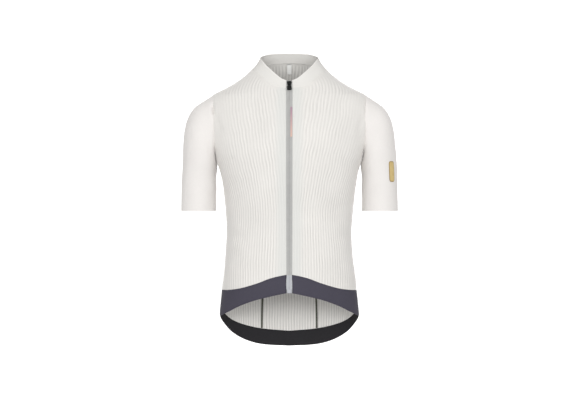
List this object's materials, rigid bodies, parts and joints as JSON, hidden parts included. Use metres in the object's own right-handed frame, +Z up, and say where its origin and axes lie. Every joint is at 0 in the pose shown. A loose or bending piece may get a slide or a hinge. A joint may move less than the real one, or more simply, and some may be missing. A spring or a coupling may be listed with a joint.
{
  "type": "cycling jersey",
  "caption": "Short-sleeved cycling jersey with a full-length zip, low collar, dropped back hem and rear pockets, filled out as if worn.",
  "frame": {"origin": "middle of the neck, level with the points where the shoulder seams reach the collar", "axes": "+Z up, -Y is the front of the garment, +X is the wearer's left"},
  "size_m": [0.53, 0.2362, 0.7315],
  "materials": {
    "front_cloth": "matt rib-knit polyester",
    "back_cloth": "matt rib-knit polyester",
    "sleeve_cloth": "smooth matt stretch knit",
    "collar_cloth": "smooth matt stretch knit",
    "front_band": "smooth matt stretch knit",
    "back_band": "matt elastic gripper",
    "pocket_cloth": "matt rib-knit polyester",
    "seam_tape": "matt bonded tape",
    "zip_tape": "fine woven tape",
    "zip_end": "satin moulded plastic",
    "accent": "satin bonded strip",
    "zip_metal": "satin black enamel",
    "label_cloth": "satin woven label",
    "tab": "satin heat-pressed film"
  },
  "bodies": {
    "jersey": {"front_left": "front_cloth", "front_right": "front_cloth", "front_hem_left": "front_band", "front_hem_right": "front_band", "back": "back_cloth", "back_hem": "back_band", "sleeve_left": "sleeve_cloth", "sleeve_right": "sleeve_cloth", "collar": "collar_cloth", "zip_tape_left": "zip_tape", "zip_tape_right": "zip_tape", "pocket_right": "pocket_cloth", "pocket_centre": "pocket_cloth", "pocket_left": "pocket_cloth", "pocket_seam_right": "seam_tape", "pocket_seam_left": "seam_tape", "zip_accent": "accent", "neck_label": "label_cloth", "sleeve_tab": "tab", "zip_slider": "zip_metal", "zip_box": "zip_end"},
    "zip_pull": {"zip_pull": "zip_metal"}
  },
  "joints": [
    {"name": "pull_hinge", "type": "hinge", "parent": "jersey", "child": "zip_pull", "pos_m": [0, -0.0704, -0.03771], "axis": [-1, 0, 0], "range_deg": [0, 170]}
  ]
}
